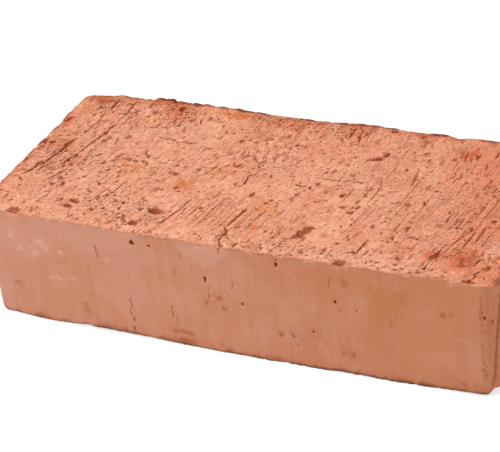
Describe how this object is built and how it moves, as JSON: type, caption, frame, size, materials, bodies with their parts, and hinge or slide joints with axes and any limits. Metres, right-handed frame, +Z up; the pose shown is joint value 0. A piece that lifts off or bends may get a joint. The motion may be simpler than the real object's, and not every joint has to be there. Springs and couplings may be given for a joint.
{
  "type": "brick",
  "caption": "Solid wire-cut clay brick for masonry, with rounded die corners, smooth sides and rough, drag-marked bed faces.",
  "frame": {"origin": "middle of the lower bed face", "axes": "+X along the length, +Y from the shown stretcher face to the hidden one, +Z up from the lower bed face to the upper one"},
  "size_m": [0.21, 0.1, 0.05],
  "materials": {
    "fired_clay": "matte"
  },
  "bodies": {
    "root": {"brick": "fired_clay"}
  },
  "joints": []
}
